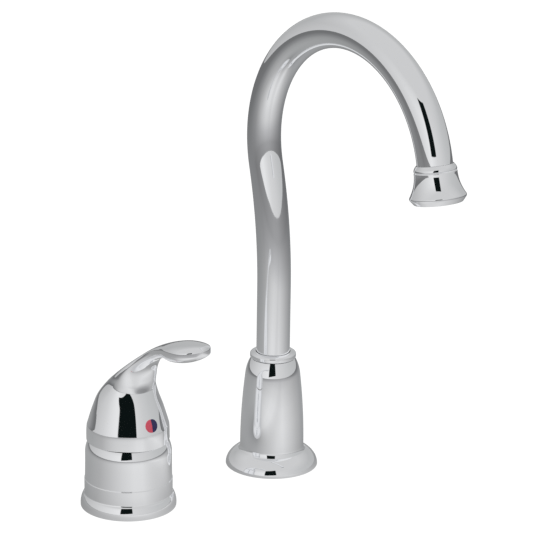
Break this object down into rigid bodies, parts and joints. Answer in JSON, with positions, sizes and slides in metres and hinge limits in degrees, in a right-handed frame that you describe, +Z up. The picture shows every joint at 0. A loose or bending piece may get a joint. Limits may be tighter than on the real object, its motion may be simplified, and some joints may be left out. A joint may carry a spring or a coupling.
{
  "type": "gooseneck bar faucet",
  "caption": "Chrome gooseneck bar tap for two deck holes: a swivelling high-arc spout with a flared outlet and, beside it, a dome valve with a single curved lever.",
  "frame": {"origin": "on the spout's upright axis, at the top of the deck that both bases stand on", "axes": "+Z up, -Y the way the spout and the lever point (to the user), +X to the user's right, away from the valve"},
  "size_m": [0.1543, 0.1741, 0.3752],
  "materials": {
    "spout_base": "polished chrome plate",
    "spout_collar": "polished chrome plate",
    "spout_post": "turned brass",
    "spout_gasket": "matt black rubber",
    "lower_glide_washer": "white nylon",
    "upper_glide_washer": "white nylon",
    "spout_rubber_washer": "matt black rubber",
    "spout_steel_washer": "plain steel",
    "spout_mounting_nut": "turned brass",
    "spout_inlet_nipple": "turned brass",
    "spout_tube": "polished chrome plate",
    "spout_hub": "turned brass",
    "hub_o_ring_lower": "matt black rubber",
    "hub_o_ring_upper": "matt black rubber",
    "outlet_bell": "polished chrome plate",
    "aerator_washer": "matt black rubber",
    "aerator_housing": "polished chrome plate",
    "aerator_flow_disc": "white nylon",
    "aerator_screen": "plain steel",
    "valve_casing": "polished chrome plate",
    "valve_body": "turned brass",
    "valve_gasket": "matt black rubber",
    "valve_shank": "turned brass",
    "valve_rubber_washer": "matt black rubber",
    "valve_steel_washer": "plain steel",
    "valve_mounting_nut": "turned brass",
    "hot_inlet_tube": "bright copper tube",
    "hot_inlet_fitting": "turned brass",
    "cold_inlet_tube": "bright copper tube",
    "cold_inlet_fitting": "turned brass",
    "outlet_tube": "bright copper tube",
    "outlet_fitting": "turned brass",
    "cartridge_sleeve": "turned brass",
    "cartridge_o_ring_lower": "matt black rubber",
    "cartridge_o_ring_upper": "matt black rubber",
    "cartridge_clip": "plain steel",
    "retainer_nut": "turned brass",
    "pivot_snap_ring": "plain steel",
    "pivot_ring": "turned brass",
    "hinge_pin": "plain steel",
    "cartridge_stem": "turned brass",
    "stem_washer": "plain steel",
    "stem_screw": "plain steel",
    "handle_yoke": "plain steel",
    "handle_casting": "polished chrome plate",
    "handle_set_screw": "plain steel",
    "indicator_button": "gloss plastic, red on the hot half and dark blue on the cold half"
  },
  "bodies": {
    "body": {"spout_base": "spout_base", "spout_collar": "spout_collar", "spout_post": "spout_post", "spout_gasket": "spout_gasket", "lower_glide_washer": "lower_glide_washer", "upper_glide_washer": "upper_glide_washer", "spout_rubber_washer": "spout_rubber_washer", "spout_steel_washer": "spout_steel_washer", "spout_mounting_nut": "spout_mounting_nut", "spout_inlet_nipple": "spout_inlet_nipple", "valve_casing": "valve_casing", "valve_body": "valve_body", "valve_gasket": "valve_gasket", "valve_shank": "valve_shank", "valve_rubber_washer": "valve_rubber_washer", "valve_steel_washer": "valve_steel_washer", "valve_mounting_nut": "valve_mounting_nut", "hot_inlet_tube": "hot_inlet_tube", "hot_inlet_fitting": "hot_inlet_fitting", "cold_inlet_tube": "cold_inlet_tube", "cold_inlet_fitting": "cold_inlet_fitting", "outlet_tube": "outlet_tube", "outlet_fitting": "outlet_fitting", "cartridge_sleeve": "cartridge_sleeve", "cartridge_o_ring_lower": "cartridge_o_ring_lower", "cartridge_o_ring_upper": "cartridge_o_ring_upper", "cartridge_clip": "cartridge_clip", "retainer_nut": "retainer_nut", "pivot_snap_ring": "pivot_snap_ring"},
    "spout": {"spout_tube": "spout_tube", "spout_hub": "spout_hub", "hub_o_ring_lower": "hub_o_ring_lower", "hub_o_ring_upper": "hub_o_ring_upper", "outlet_bell": "outlet_bell", "aerator_washer": "aerator_washer", "aerator_housing": "aerator_housing", "aerator_flow_disc": "aerator_flow_disc", "aerator_screen": "aerator_screen"},
    "turn": {"pivot_ring": "pivot_ring", "hinge_pin": "hinge_pin"},
    "handle": {"handle_yoke": "handle_yoke", "handle_casting": "handle_casting", "handle_set_screw": "handle_set_screw", "indicator_button": "indicator_button"},
    "stem": {"cartridge_stem": "cartridge_stem", "stem_washer": "stem_washer", "stem_screw": "stem_screw"}
  },
  "joints": [
    {"name": "spout_swivel", "type": "hinge", "parent": "body", "child": "spout", "pos_m": [0, 0, 0.05], "axis": [0, 0, 1], "continuous": true},
    {"name": "handle_turn", "type": "hinge", "parent": "body", "child": "turn", "pos_m": [-0.1016, 0, 0.038], "axis": [0, 0, 1], "range_deg": [-50, 50]},
    {"name": "handle_lift", "type": "hinge", "parent": "turn", "child": "handle", "pos_m": [-0.1016, 0.0172, 0.041], "axis": [-1, 0, 0], "range_deg": [0, 16]},
    {"name": "stem_slide", "type": "slide", "parent": "turn", "child": "stem", "axis": [0, 0, 1], "range_m": [0, 0.0046]}
  ],
  "couplings": [
    {"joint": "stem_slide", "follows": "handle_lift", "m_per_rad": 0.0163}
  ]
}
